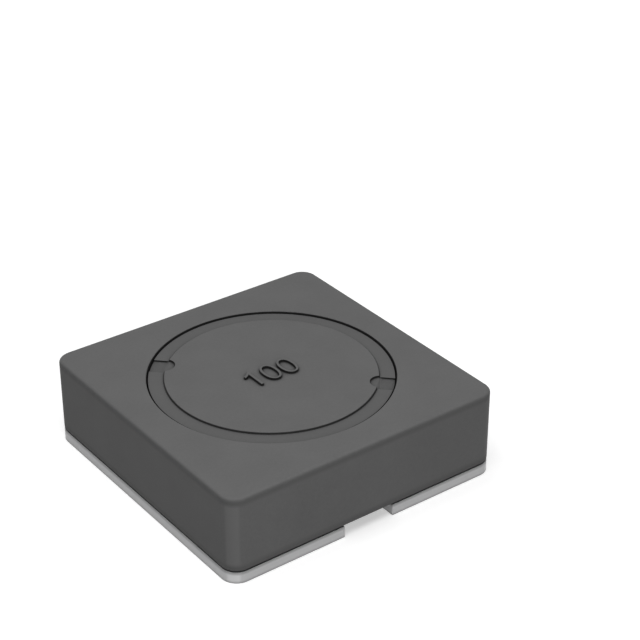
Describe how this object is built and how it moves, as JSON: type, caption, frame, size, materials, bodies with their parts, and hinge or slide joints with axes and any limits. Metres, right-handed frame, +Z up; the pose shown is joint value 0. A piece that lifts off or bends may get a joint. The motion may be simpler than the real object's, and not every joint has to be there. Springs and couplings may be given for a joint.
{
  "type": "shielded smd inductor",
  "caption": "Square low-profile power inductor: a wound ferrite drum core inside a square ferrite ring, on two flat tinned terminals.",
  "frame": {"origin": "middle of the square footprint, on the plane of the terminals' undersides", "axes": "+Z up, away from the board; +X from the left terminal to the right terminal; +Y along the channel between the terminals"},
  "size_m": [0.01, 0.01, 0.003],
  "materials": {
    "ring_ferrite": "matt ground ferrite, dark grey",
    "drum_ferrite": "matt ground ferrite, dark grey",
    "tinned_plate": "matt tin plating",
    "enamelled_wire": "clear enamel on copper",
    "solder": "satin solder",
    "bond_resin": "cured epoxy, dark"
  },
  "bodies": {
    "root": {"ring_core": "ring_ferrite", "drum_core": "drum_ferrite", "winding": "enamelled_wire", "left_terminal": "tinned_plate", "right_terminal": "tinned_plate", "left_solder_joint": "solder", "right_solder_joint": "solder", "core_bond": "bond_resin"}
  },
  "joints": []
}
